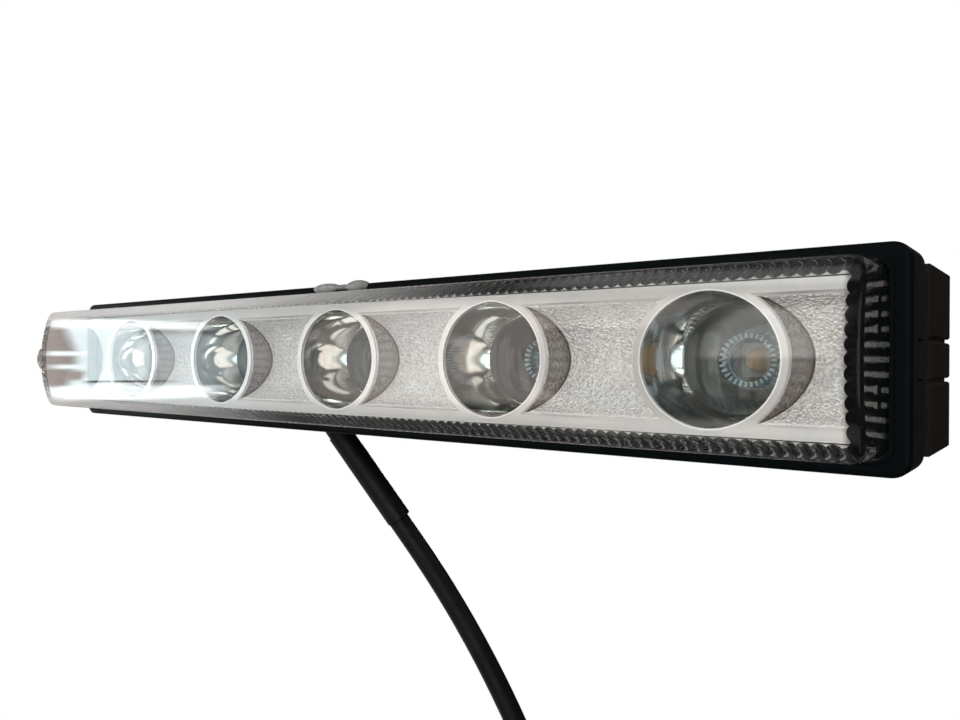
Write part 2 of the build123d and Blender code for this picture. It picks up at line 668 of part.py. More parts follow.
def fin_xs():
    """Fin positions along the bar, leaving room for screws, bosses, link pins and the wire slot."""
    count = int(FIN_REACH / FIN_PITCH)
    spots = [i * FIN_PITCH for i in range(-count, count + 1)]
    return [x for x in spots if all(abs(x - gap_x) > reach for gap_x, reach in FIN_GAPS)]


def heat_sink():
    sink = slab(SINK_HALF_L, SINK_HALF_H, SINK_D0, SINK_D1, PLATE_CORNER_R)
    for x in fin_xs():
        fin = slab_at(x, 0, FIN_T / 2, SINK_HALF_H - FIN_MARGIN, SINK_D1 - FIN_ROOT, SINK_D1 + FIN_H)
        sink = sink + fin
    sink = sink - wire_slot(SINK_D0, SINK_D1)
    for x in POST_XS:
        sink = sink - rod(x, 0, ENGINE_HOLE_R, SINK_D0, SINK_D1)
    for x, z in REAR_SCREWS:
        sink = sink - rod(x, z, SINK_THREAD_R, SINK_D0, SINK_D1)
    for x, z in DRIVER_SCREWS:
        sink = sink - rod(x, z, DRIVER_THREAD_R, SINK_D1 - DRIVER_THREAD_LENGTH, SINK_D1)
    for x, z in LINK_PINS:
        sink = sink - rod(x, z, LINK_CLEAR_R, SINK_D0, SINK_D1)
    return sink


def driver_board():
    board = slab(DRIVER_HALF_L, DRIVER_HALF_H, DRIVER_D0, DRIVER_FACE, PLATE_CORNER_R)
    for x, z in DRIVER_SCREWS:
        board = board - rod(x, z, DRIVER_HOLE_R, DRIVER_D0, DRIVER_FACE)
    for x, z in LINK_PINS:
        board = board - rod(x, z, LINK_HOLE_R, DRIVER_D0, DRIVER_FACE)
    return board


def chip(x, z, size):
    half_l, half_h, thickness = size
    return slab_at(x, z, half_l, half_h, DRIVER_FACE, DRIVER_FACE + thickness)


def driver_chips():
    return [chip(x, z, LIGHT_CHIP_SIZE) for x, z in LIGHT_CHIPS] + [chip(*POWER_CHIP, POWER_CHIP_SIZE)]


def driver_inductor():
    """Drum core with a waist for the winding."""
    low, high = INDUCTOR_WAIST
    core = tube(INDUCTOR_X, 0, INDUCTOR_R, INDUCTOR_BORE_R, DRIVER_FACE, DRIVER_FACE + INDUCTOR_H)
    return core - tube(INDUCTOR_X, 0, INDUCTOR_R + 1, INDUCTOR_WAIST_R, DRIVER_FACE + low, DRIVER_FACE + high)


def driver_coil():
    low, high = INDUCTOR_WAIST
    return tube(INDUCTOR_X, 0, COIL_R, INDUCTOR_WAIST_R + COIL_CLEARANCE,
                DRIVER_FACE + low + COIL_INSET, DRIVER_FACE + high - COIL_INSET)


def driver_capacitors():
    """Three electrolytic cans, each with a crimp groove near its foot."""
    low, high = CAN_GROOVE
    cans = []
    for x, z in CAN_SPOTS:
        can = rod(x, z, CAN_R, DRIVER_FACE, DRIVER_FACE + CAN_H)
        groove = tube(x, z, CAN_R + 1, CAN_R - CAN_GROOVE_DEPTH, DRIVER_FACE + low, DRIVER_FACE + high)
        cans.append(can - groove)
    return cans


# ---------------------------------------------------------------- screws and small hardware
def pan_screw(x, z, sizes, head_d, shank_end):
    """Cross-head screw whose head bears on depth head_d and whose shank runs forward."""
    head_r, head_h, shank_r = sizes
    screw = rod(x, z, head_r, head_d, head_d + head_h) + rod(x, z, shank_r, shank_end, head_d)
    top = screw.faces().sort_by(Axis.Y)[-1]
    screw = fillet(top.outer_wire().edges(), head_h * HEAD_ROUND)
    arm = head_r * SLOT_LENGTH
    slot = head_r * SLOT_WIDTH
    face = head_d + head_h
    floor = face - head_h * SLOT_DEPTH
    screw = screw - slab_at(x, z, arm, slot, floor, face)
    return screw - slab_at(x, z, slot, arm, floor, face)


def engine_screws():
    end = LED_BOARD_D0 - ENGINE_SCREW_REACH
    return [pan_screw(x, 0, ENGINE_SCREW, SINK_D1, end) for x in POST_XS]


def rear_screws():
    seat = BODY_DEPTH - REAR_HEAD_POCKET
    return [pan_screw(x, z, REAR_SCREW, seat, SINK_D0 + REAR_SCREW_STOP) for x, z in REAR_SCREWS]


def driver_screws():
    end = SINK_D1 - DRIVER_SCREW_REACH
    return [pan_screw(x, z, DRIVER_SCREW, DRIVER_FACE, end) for x, z in DRIVER_SCREWS]


def driver_spacers():
    return [tube(x, z, SPACER_R, SPACER_BORE_R, SINK_D1, DRIVER_D0) for x, z in DRIVER_SCREWS]


def link_pins():
    front = LED_BOARD_D0 - LINK_PIN_FRONT
    rear = DRIVER_FACE + LINK_PIN_REAR
    return [rod(x, z, LINK_PIN_R, front, rear) for x, z in LINK_PINS]


def link_bushings():
    front = LED_BOARD_D0 + LED_BOARD_T
    rear = SINK_D1 + LINK_BUSH_TAIL
    return [tube(x, z, LINK_BUSH_R, LINK_BUSH_BORE_R, front, rear) for x, z in LINK_PINS]


def mount_insert(x):
    """Brass M5 insert pressed in from the rear, open toward +Y, with a knurl groove."""
    front = BODY_DEPTH - INSERT_LENGTH
    bore = BODY_DEPTH - INSERT_BORE_LENGTH
    low, high = INSERT_GROOVE
    waist = INSERT_R - INSERT_GROOVE_DEPTH
    outline = [
        (0, front), (INSERT_R - INSERT_LEAD, front), (INSERT_R, front + INSERT_LEAD),
        (INSERT_R, front + low), (waist, front + low + INSERT_GROOVE_DEPTH),
        (waist, front + high - INSERT_GROOVE_DEPTH), (INSERT_R, front + high), (INSERT_R, BODY_DEPTH),
        (INSERT_BORE_R + INSERT_LEAD, BODY_DEPTH), (INSERT_BORE_R, BODY_DEPTH - INSERT_LEAD),
        (INSERT_BORE_R, bore), (0, bore)]
    return Pos(x, 0, 0) * turned(chain(outline))


def vent_plug():
    """Round vent cap with ring grooves on its face and a hollow stem through the wall."""
    seat = BODY_DEPTH - VENT_SEAT_DEPTH
    face = BODY_DEPTH - VENT_CAP_SINK
    stem_end = BODY_DEPTH - REAR_WALL - VENT_STEM_REACH
    plug = rod(VENT_X, 0, VENT_CAP_R, seat, face) + tube(VENT_X, 0, VENT_STEM_R, VENT_BORE_R, stem_end, seat)
    for i in range(VENT_GROOVES):
        r = VENT_GROOVE_R + i * VENT_GROOVE_PITCH
        plug = plug - tube(VENT_X, 0, r + VENT_GROOVE_W, r, face - VENT_CAP_SINK, face)
    return plug


def sealant_bead(bezel):
    """Cured sealant squeezed out in joined lumps over the upper front edge of the bezel."""
    edge = Pos(0, at(SEALANT_DEPTH), BEZEL_HALF_H - SEALANT_DEPTH)
    lumps = []
    for x, half_l, half_d, half_h in SEALANT_LUMPS:
        lumps.append(edge * Pos(x, 0, 0) * scale(Sphere(1), by=(half_l, half_d, half_h)))
    hollow = slab(BEZEL_SKIRT_HALF_L, BEZEL_SKIRT_HALF_H, BEZEL_LIP_T / 2, BEZEL_SKIRT_DEPTH)
    return join(lumps) - bezel - hollow


# ---------------------------------------------------------------- cable
def cable_point(point):
    x, depth, z = point
    return Vector(x, at(depth), z)


def cable_lines():
    straight = Line(cable_point(CABLE_INNER_END), cable_point(CABLE_BEND))
    return straight, TangentArc(cable_point(CABLE_BEND), cable_point(CABLE_OUTER_END), tangent=straight % 1)


def swept(path, r):
    return sweep(Plane(origin=path @ 0, z_dir=path % 0) * Circle(r), path=path)


def across_cable(way):
    """Sideways direction at right angles to the cable."""
    side = Vector(1, 0, 0) - way * way.X
    return side.normalized()


def along_cable(r, s0, s1, aside=0.0):
    """Cylinder along the straight part of the cable between two distances from its inner end."""
    start = cable_point(CABLE_INNER_END)
    way = (cable_point(CABLE_BEND) - start).normalized()
    foot = start + way * s0 + across_cable(way) * aside
    return extrude(Plane(origin=foot, z_dir=way) * Circle(r), amount=s1 - s0)


def cable_jacket():
    straight, arc = cable_lines()
    return along_cable(CABLE_R, 0, straight.length) + swept(arc, CABLE_R)


def cable_sleeve():
    sleeve = along_cable(SLEEVE_R, SLEEVE_START, SLEEVE_END, SLEEVE_ASIDE)
    sleeve = fillet(sleeve.edges().sort_by(Axis.Z)[0], SLEEVE_EDGE_R)
    return sleeve - along_cable(CABLE_R, SLEEVE_START, SLEEVE_END)


def cable_grommet():
    flange = grommet_rod(GROMMET_FLANGE_R, -BODY_HALF_H - GROMMET_FLANGE_T, -BODY_HALF_H)
    flange = fillet(flange.faces().sort_by(Axis.Z)[0].edges(), GROMMET_EDGE_R)
    body = grommet_rod(GROMMET_HOLE_R, -BODY_HALF_H, -CAVITY_HALF_H)
    collar = grommet_rod(GROMMET_HOLE_R + GROMMET_COLLAR_EXTRA, -CAVITY_HALF_H,
                         -CAVITY_HALF_H + GROMMET_COLLAR_T)
    return flange + body + collar - along_cable(CABLE_R, 0, SLEEVE_END)


def core_lead(side):
    """One core from the inner end of the jacket, back through the slot to the driver board."""
    straight, _ = cable_lines()
    way = straight % 0
    start = straight @ 0 + across_cable(way) * (CORE_ASIDE * side) - way * CORE_GAP
    knee = start - way * CORE_RISE
    board = Vector(knee.X, at(DRIVER_D0), knee.Z)
    return swept(FilletPolyline(start, knee, board, radius=CORE_BEND_R), CORE_R)


def core_tail_line(side):
    """Centre line of the same core beyond the cut end of the cable."""
    _, arc = cable_lines()
    way = arc % 1
    start = arc @ 1 + across_cable(way) * (CORE_ASIDE * side) + way * CORE_GAP
    spread = (way + across_cable(way) * (TAIL_SPREAD * side)).normalized()
    knee = start + way * TAIL_STRAIGHT
    return FilletPolyline(start, knee, knee + spread * TAIL_LENGTH, radius=TAIL_BEND_R)


def core(side):
    return Compound(children=[core_lead(side), swept(core_tail_line(side), CORE_R)])


def core_tips():
    """Bare strands past the end of each core's insulation."""
    tips = []
    for side in (-1, 1):
        line = core_tail_line(side)
        way = line % 1
        start = line @ 1 + way * CORE_GAP
        tips.append(extrude(Plane(origin=start, z_dir=way) * Circle(CORE_BARE_R), amount=TIP_LENGTH))
    return tips


# ---------------------------------------------------------------- write the parts
def main():
    os.makedirs("parts", exist_ok=True)
    bezel = bezel_frame()
    parts = {
        "housing": housing(),
        "bezel_frame": bezel,
        "lens_cover": lens_cover(),
        "lens_seal": lens_seal(),
        "sealant_bead": sealant_bead(bezel),
        "reflector": reflector(),
        "led_board": led_board(),
        "thermal_pad": thermal_pad(),
        "heat_sink": heat_sink(),
        "driver_board": driver_board(),
        "driver_inductor": driver_inductor(),
        "driver_coil": driver_coil(),
        "vent_plug": vent_plug(),
        "cable_grommet": cable_grommet(),
        "cable_sleeve": cable_sleeve(),
        "cable_jacket": cable_jacket(),
        "led_collars": Compound(children=[led_collar(x) for x in LED_XS]),
        "led_packages": Compound(children=[led_package(x) for x in LED_XS]),
        "led_domes": Compound(children=[led_dome(x) for x in LED_XS]),
        "driver_chips": Compound(children=driver_chips()),
        "driver_capacitors": Compound(children=driver_capacitors()),
        "driver_spacers": Compound(children=driver_spacers()),
        "driver_screws": Compound(children=driver_screws()),
        "engine_screws": Compound(children=engine_screws()),
        "rear_screws": Compound(children=rear_screws()),
        "link_pins": Compound(children=link_pins()),
        "link_bushings": Compound(children=link_bushings()),
        "mount_inserts": Compound(children=[mount_insert(x) for x in INSERT_XS]),
        "core_red": core(-1),
        "core_black": core(1),
        "core_tips": Compound(children=core_tips()),
    }
    for i, x in enumerate(LED_XS, start=1):
        parts[f"projector_cup_{i}"] = projector_cup(x)
        parts[f"projector_lens_{i}"] = projector_lens(x)
    for name, shape in parts.items():
        export_step(shape, f"parts/{name}.step")


main()
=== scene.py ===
import json
from math import cos, radians, sin

import bpy
from mathutils import Matrix, Vector


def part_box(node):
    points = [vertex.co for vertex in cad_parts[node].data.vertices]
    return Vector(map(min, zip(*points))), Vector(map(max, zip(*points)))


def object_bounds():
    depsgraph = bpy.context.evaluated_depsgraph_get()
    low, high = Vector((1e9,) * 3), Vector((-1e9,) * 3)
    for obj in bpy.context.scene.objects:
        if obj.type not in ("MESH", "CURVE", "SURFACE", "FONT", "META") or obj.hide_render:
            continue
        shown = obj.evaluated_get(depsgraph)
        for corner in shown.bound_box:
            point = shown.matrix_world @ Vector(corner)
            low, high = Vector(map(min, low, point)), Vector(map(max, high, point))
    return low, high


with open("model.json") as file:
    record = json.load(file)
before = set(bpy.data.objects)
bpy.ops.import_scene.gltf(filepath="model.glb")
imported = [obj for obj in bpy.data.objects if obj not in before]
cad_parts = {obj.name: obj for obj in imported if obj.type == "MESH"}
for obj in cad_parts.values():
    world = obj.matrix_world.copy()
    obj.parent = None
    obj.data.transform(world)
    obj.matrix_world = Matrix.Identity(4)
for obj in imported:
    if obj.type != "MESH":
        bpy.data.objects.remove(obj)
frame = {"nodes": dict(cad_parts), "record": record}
nodes = frame["nodes"]
cad_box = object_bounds()

RIDGE_H = 0.0004             # raised bead round the bezel's opening
BEZEL_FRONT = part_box("bezel_frame")[0].y + RIDGE_H
REFL_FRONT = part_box("reflector")[0].y
LED_PITCH = 0.045
TUBE_FRONT_R = 0.0134        # outer radius of a ring at its front
TUBE_SLOPE = 0.4364          # how fast its flank widens with depth

# Pairs of values over which one look gives way to another, in metres.
TROUGH_START = (0.00035, 0.0009)     # depth: plain front to stippled trough
LIP_HIGHLIGHT_DEPTH = (0.0004, 0.0001)         # depth: painted highlight on the lip of a ring, fading inward
LIP_HIGHLIGHT_RADIUS = (0.01245, 0.01225)      # distance from the optic's axis: the same painted lip highlight
FLANK_SIDE = (0.004, 0.007)          # along +X from the axis: flank that faces the camera, which gets the painted shade and highlight
FLANK_REACH = (0.0005, 0.0001)       # distance beyond the tube's surface
SEAM_SHADE_OUTER = (0.00055, 0.0003)       # painted shade: dark line in the crease where a flank meets the trough
SEAM_SHADE_INNER = (-0.0002, 0.0001)
FLANK_HIGHLIGHT_BAND = (0.0045, 0.0025)      # |Z|: painted highlight along the middle of a flank
COOL_LIGHT_LEFT = (-0.11, 0.02)            # X: painted light, a cool daylight tint on the silver at the left and a warm one on the right
WARM_LIGHT_RIGHT = (0.0, 0.11)
COVER_WALL = (0.0118, 0.0135)        # |Z|: crowned face to fluted wall of the cover
DAYLIGHT_HAZE_REACH = (0.03, -0.085)         # X: painted daylight on that wall, a white haze growing toward the left end
DAYLIGHT_HAZE_LEAN = 2.0                     # it reaches further right above than below
END_WALL = (0.1140, 0.1155)          # X: right end wall of the cover
RIM_REFLECTION_TONE = (0.003, 0.004, 0.004)         # painted reflection of the black rim: colour of the dark end wall
LIGHT_PASS = 0.94                    # share of the light that a clear piece lets through to the inside
SEAL_DAYLIGHT = (-0.10, 0.045)           # X: painted light on the sealant, pale where the daylight falls at the left, dark on the right
SEAL_EDGE = (0.0160, 0.0163)         # |Z|: outer edge of the seal

FLOOR_HALF = 3.0
FLOOR_GAP = 0.002                    # the lamp stays this far above the floor
DEGREES_PER_RADIAN = 180.0 / 3.14159265


# ---------------------------------------------------------------- node helpers
def new_tree(name):
    material = bpy.data.materials.new(name)
    material.use_nodes = True
    material.node_tree.nodes.clear()
    return material, material.node_tree


def put(tree, kind, inputs=None, **props):
    """Add a node; inputs may hold numbers, tuples or sockets."""
    made = tree.nodes.new(kind)
    for key, value in props.items():
        setattr(made, key, value)
    for key, value in (inputs or {}).items():
        socket = made.inputs[key]
        if isinstance(value, bpy.types.NodeSocket):
            tree.links.new(value, socket)
        else:
            socket.default_value = value
    return made


def calc(tree, operation, *values):
    """Math node over numbers or sockets."""
    made = tree.nodes.new("ShaderNodeMath")
    made.operation = operation
    for i, value in enumerate(values):
        if isinstance(value, bpy.types.NodeSocket):
            tree.links.new(value, made.inputs[i])
        else:
            made.inputs[i].default_value = value
    return made.outputs[0]


def ramp(tree, value, low, high, to_low=0.0, to_high=1.0):
    """Smooth step from to_low at low to to_high at high; low may be the larger of the two."""
    made = put(tree, "ShaderNodeMapRange", {"Value": value}, clamp=True, interpolation_type="SMOOTHSTEP")
    made.inputs["From Min"].default_value = low
    made.inputs["From Max"].default_value = high
    made.inputs["To Min"].default_value = to_low
    made.inputs["To Max"].default_value = to_high
    return made.outputs["Result"]


def mix_color(tree, factor, a, b):
    made = put(tree, "ShaderNodeMix", data_type="RGBA")
    for index, value in ((0, factor), (6, a), (7, b)):
        if isinstance(value, bpy.types.NodeSocket):
            tree.links.new(value, made.inputs[index])
        else:
            made.inputs[index].default_value = (*value, 1.0) if index else value
    return made.outputs[2]


def position(tree):
    """Object coordinates: the CAD frame in metres."""
    return put(tree, "ShaderNodeTexCoord").outputs["Object"]


def noise(tree, where, scale, detail=3.0, roughness=0.5, stretch=(1.0, 1.0, 1.0)):
    mapped = put(tree, "ShaderNodeMapping", {"Vector": where, "Scale": stretch}).outputs[0]
    made = put(tree, "ShaderNodeTexNoise", {"Vector": mapped, "Scale": scale, "Detail": detail,
                                            "Roughness": roughness})
    return made.outputs["Fac"]


def bump(tree, height, strength, distance, normal=None):
    made = put(tree, "ShaderNodeBump", {"Height": height, "Strength": strength, "Distance": distance})
    if normal is not None:
        tree.links.new(normal, made.inputs["Normal"])
    return made.outputs[0]


def finish(tree, shader):
    put(tree, "ShaderNodeOutputMaterial", {"Surface": shader})


# ---------------------------------------------------------------- materials
def moulded(name, base, alt, rough, rough_spread=0.08, grain=1800.0, grain_depth=0.00003,
            metallic=0.0, specular=0.5, stretch=(1.0, 1.0, 1.0), coat=0.0):
    """Everyday surface: two close tones, uneven gloss and a fine grain."""
    material, tree = new_tree(name)
    where = position(tree)
    patches = noise(tree, where, 90.0, 4.0, 0.6)
    fine = noise(tree, where, grain, 2.0, 0.6, stretch)
    color = mix_color(tree, ramp(tree, patches, 0.35, 0.65), base, alt)
    gloss = ramp(tree, noise(tree, where, 220.0, 3.0), 0.3, 0.7, rough - rough_spread, rough + rough_spread)
    normal = bump(tree, fine, 0.5, grain_depth)
    shader = put(tree, "ShaderNodeBsdfPrincipled", {
        "Base Color": color, "Metallic": metallic, "Roughness": gloss, "Normal": normal,
        "Specular IOR Level": specular, "Coat Weight": coat})
    finish(tree, shader.outputs[0])
    return material


def daylight_haze_band(tree, where):
    """1 on the fluted walls of the cover toward its left end: painted daylight, a white haze where they
    scatter the window's light.
    """
    split = put(tree, "ShaderNodeSeparateXYZ", {"Vector": where})
    wall = ramp(tree, calc(tree, "ABSOLUTE", split.outputs["Z"]), *COVER_WALL)
    along = calc(tree, "SUBTRACT", split.outputs["X"], calc(tree, "MULTIPLY", split.outputs["Z"], DAYLIGHT_HAZE_LEAN))
    return calc(tree, "MULTIPLY", wall, ramp(tree, along, *DAYLIGHT_HAZE_REACH))


def rim_reflection_band(tree, where):
    """1 in the fluted end wall on the right, where a painted dark reflection stands for the black rim round
    it.
    """
    split = put(tree, "ShaderNodeSeparateXYZ", {"Vector": where})
    return ramp(tree, split.outputs["X"], *END_WALL)


def clear(name, tint, ior, ripple, ripple_scale, haze, haze_color=(1, 1, 1), daylight_haze=0.0, rim_reflection=0.0):
    """Clear plastic or glass with a slight ripple and haze; the painted daylight haze and the painted dark
    rim reflection are for the cover's walls.
    """
    material, tree = new_tree(name)
    where = position(tree)
    normal = bump(tree, noise(tree, where, ripple_scale, 2.0, 0.4), 0.35, ripple)
    glass = put(tree, "ShaderNodeBsdfGlass", {
        "Color": (*tint, 1.0), "Roughness": 0.0, "IOR": ior, "Normal": normal}).outputs[0]
    cloud = ramp(tree, noise(tree, where, 260.0, 4.0), 0.3, 0.75, 0.6, 1.3)
    amount = calc(tree, "MULTIPLY", cloud, haze)
    if daylight_haze:
        # painted daylight: white haze mixed into the cover's walls toward the left end
        amount = calc(tree, "ADD", amount, calc(tree, "MULTIPLY", daylight_haze_band(tree, where), daylight_haze))
    dust = put(tree, "ShaderNodeBsdfDiffuse", {"Color": (*haze_color, 1.0)}).outputs[0]
    body = put(tree, "ShaderNodeMixShader", {0: amount, 1: glass, 2: dust}).outputs[0]
    if rim_reflection:
        # painted reflection: near-black diffuse mixed into the right end wall for the black rim it shows
        rim_dark = put(tree, "ShaderNodeBsdfDiffuse", {"Color": (*RIM_REFLECTION_TONE, 1.0)}).outputs[0]
        amount = calc(tree, "MULTIPLY", rim_reflection_band(tree, where), rim_reflection)
        body = put(tree, "ShaderNodeMixShader", {0: amount, 1: body, 2: rim_dark}).outputs[0]
    veil = put(tree, "ShaderNodeBsdfTransparent", {"Color": (LIGHT_PASS, LIGHT_PASS, LIGHT_PASS, 1.0)})
    path = put(tree, "ShaderNodeLightPath")
    soft = calc(tree, "MAXIMUM", path.outputs["Is Shadow Ray"], path.outputs["Is Diffuse Ray"])
    both = put(tree, "ShaderNodeMixShader", {0: soft, 1: body, 2: veil.outputs[0]})
    finish(tree, both.outputs[0])
    return material


def ring_distance(tree, split):
    """Distance from the axis of the nearest optic, and how far along +X from it."""
    steps = calc(tree, "DIVIDE", split.outputs["X"], LED_PITCH)
    offset = calc(tree, "MULTIPLY", calc(tree, "SUBTRACT", steps, calc(tree, "ROUND", steps)), LED_PITCH)
    squares = calc(tree, "ADD", calc(tree, "MULTIPLY", offset, offset),
                   calc(tree, "MULTIPLY", split.outputs["Z"], split.outputs["Z"]))
    return calc(tree, "SQRT", squares), offset


def ring_masks(tree, split, inward, behind):
    """1 on the flanks of the tubes, on the seam at their foot and on the lips of the rings: where the painted
    shade of flanks and seams and the painted lip highlight go.
    """
    radius, offset = ring_distance(tree, split)
    tube_r = calc(tree, "ADD", calc(tree, "MULTIPLY", inward, TUBE_SLOPE), TUBE_FRONT_R)
    beyond = calc(tree, "SUBTRACT", radius, tube_r)
    right = calc(tree, "MULTIPLY", behind, ramp(tree, offset, *FLANK_SIDE))
    tube = calc(tree, "MULTIPLY", right, ramp(tree, beyond, *FLANK_REACH))
    seam_shade = calc(tree, "MULTIPLY", calc(tree, "MULTIPLY", right, ramp(tree, beyond, *SEAM_SHADE_OUTER)),
                ramp(tree, beyond, *SEAM_SHADE_INNER))
    lip_highlight = calc(tree, "MULTIPLY", ramp(tree, inward, *LIP_HIGHLIGHT_DEPTH), ramp(tree, radius, *LIP_HIGHLIGHT_RADIUS))
    return tube, seam_shade, lip_highlight


def stipple_normal(tree, where, behind):
    """Fine pebbled relief of the troughs; the plain front keeps only a trace of it."""
    cells = put(tree, "ShaderNodeTexVoronoi", {"Vector": where, "Scale": 2300.0}, feature="SMOOTH_F1")
    cells.inputs["Smoothness"].default_value = 0.25
    coarse = calc(tree, "MULTIPLY", noise(tree, where, 1500.0, 2.0), 1.2)
    stipple = calc(tree, "ADD", cells.outputs["Distance"], coarse)
    return bump(tree, calc(tree, "MULTIPLY", stipple, calc(tree, "ADD", behind, 0.03)), 1.0, 0.0003)


def scaled(tree, color, factor):
    return put(tree, "ShaderNodeVectorMath", {0: color, "Scale": factor}, operation="SCALE").outputs[0]


def silver_tone(tree, where, split, behind):
    """Silver with painted light: a cool daylight tint on the left, warm on the right; plain rails, grainy
    troughs.
    """
    cool_light = ramp(tree, split.outputs["X"], *COOL_LIGHT_LEFT)
    warm_light = ramp(tree, split.outputs["X"], *WARM_LIGHT_RIGHT)
    # painted light: the window's cool daylight tints the left, the room's warm light the right
    silver = mix_color(tree, cool_light, (0.82, 0.875, 0.90), (0.90, 0.895, 0.88))
    silver = mix_color(tree, warm_light, silver, (0.93, 0.90, 0.865))
    patches = ramp(tree, noise(tree, where, 120.0, 3.0), 0.35, 0.65)
    color = mix_color(tree, patches, silver, (0.86, 0.855, 0.845))
    grains = ramp(tree, noise(tree, where, 1800.0, 2.0, 0.6), 0.38, 0.60, 0.80, 1.12)
    return mix_color(tree, behind, scaled(tree, color, 0.90), scaled(tree, color, grains))


def flank_shade_and_highlight(tree, where, split):
    """Speckled flank of a tube in a darker pinkish tone as painted shade, with a painted highlight along its
    middle.
    """
    speckle = ramp(tree, noise(tree, where, 1700.0, 3.0, 0.6), 0.42, 0.58)
    flank = mix_color(tree, speckle, (0.52, 0.46, 0.44), (0.95, 0.93, 0.91))
    middle_highlight = ramp(tree, calc(tree, "ABSOLUTE", split.outputs["Z"]), *FLANK_HIGHLIGHT_BAND)
    return mix_color(tree, calc(tree, "MULTIPLY", middle_highlight, 0.75), flank, (0.88, 0.87, 0.85))


def reflector_metal():
    """Silvered plastic: satin rails and ring faces, stippled troughs, speckled tube flanks; painted shade on
    the flanks and seams, painted highlights on the flanks' middles and the rings' lips, painted cool and warm
    light along X.
    """
    material, tree = new_tree("reflector_silver")
    where = position(tree)
    split = put(tree, "ShaderNodeSeparateXYZ", {"Vector": where})
    inward = calc(tree, "SUBTRACT", split.outputs["Y"], REFL_FRONT)
    behind = ramp(tree, inward, *TROUGH_START)
    tube, seam_shade, lip_highlight = ring_masks(tree, split, inward, behind)
    normal = stipple_normal(tree, where, behind)
    # the camera-facing tube flanks get their painted shade and painted middle highlight
    color = mix_color(tree, tube, silver_tone(tree, where, split, behind), flank_shade_and_highlight(tree, where, split))
    # painted shade: dark brown line in the crease at the foot of each tube
    color = mix_color(tree, seam_shade, color, (0.13, 0.10, 0.09))
    # painted highlight: near-white lip at the inner edge of each ring
    color = mix_color(tree, lip_highlight, color, (0.90, 0.90, 0.89))

    rough = ramp(tree, behind, 0.0, 1.0, 0.22, 0.34)
    metal = put(tree, "ShaderNodeBsdfPrincipled", {
        "Base Color": color, "Metallic": 1.0, "Roughness": rough, "Normal": normal})
    chalk = put(tree, "ShaderNodeBsdfDiffuse", {"Color": color, "Normal": normal})
    # the painted lip highlight also takes a larger diffuse share
    share = calc(tree, "ADD", calc(tree, "MULTIPLY", lip_highlight, 0.3), 0.48)
    both = put(tree, "ShaderNodeMixShader", {0: share, 1: metal.outputs[0], 2: chalk.outputs[0]})
    finish(tree, both.outputs[0])
    return material


def cup_mirror():
    """Bright mirror coating, slightly wavy, with faint turning marks."""
    material, tree = new_tree("cup_mirror")
    where = position(tree)
    waves = noise(tree, where, 70.0, 2.0, 0.4)
    normal = bump(tree, waves, 0.5, 0.00025)
    marks = noise(tree, where, 1500.0, 2.0, 0.5, (0.1, 1.0, 0.1))
    normal = bump(tree, marks, 0.3, 0.00003, normal)
    smears = noise(tree, where, 300.0, 4.0)
    rough = ramp(tree, smears, 0.35, 0.8, 0.02, 0.07)
    color = mix_color(tree, smears, (0.92, 0.90, 0.88), (0.84, 0.81, 0.79))
    shader = put(tree, "ShaderNodeBsdfPrincipled", {
        "Base Color": color, "Metallic": 1.0, "Roughness": rough, "Normal": normal})
    finish(tree, shader.outputs[0])
    return material


def seal_silicone():
    """Sealant under the cover's flange: painted light makes it pale at the left end where the daylight falls,
    black toward the right; pale outer edge.
    """
    material, tree = new_tree("seal_silicone")
    where = position(tree)
    split = put(tree, "ShaderNodeSeparateXYZ", {"Vector": where})
    along = ramp(tree, split.outputs["X"], *SEAL_DAYLIGHT)
    # painted light: the window's light on the left end painted into the sealant's colour
    tone = mix_color(tree, along, (0.80, 0.82, 0.82), (0.035, 0.036, 0.036))
    outer = ramp(tree, calc(tree, "ABSOLUTE", split.outputs["Z"]), *SEAL_EDGE)
    tone = mix_color(tree, calc(tree, "MULTIPLY", outer, 0.8), tone, (0.75, 0.77, 0.76))
    mottle = ramp(tree, noise(tree, where, 500.0, 4.0), 0.3, 0.7)
    tone = mix_color(tree, calc(tree, "MULTIPLY", mottle, 0.35), tone, (0.12, 0.12, 0.115))
    normal = bump(tree, noise(tree, where, 900.0, 3.0), 0.6, 0.0002)
    shader = put(tree, "ShaderNodeBsdfPrincipled", {
        "Base Color": tone, "Roughness": 0.4, "Normal": normal})
    finish(tree, shader.outputs[0])
    return material


def emitter_dome():
    """Amber silicone dome, slightly translucent."""
    material, tree = new_tree("dome_silicone")
    where = position(tree)
    tone = mix_color(tree, noise(tree, where, 900.0), (0.62, 0.42, 0.22), (0.55, 0.34, 0.18))
    shader = put(tree, "ShaderNodeBsdfPrincipled", {
        "Base Color": tone, "Roughness": 0.18, "Transmission Weight": 0.25, "IOR": 1.41,
        "Subsurface Weight": 0.2, "Subsurface Scale": 0.001})
    finish(tree, shader.outputs[0])
    return material


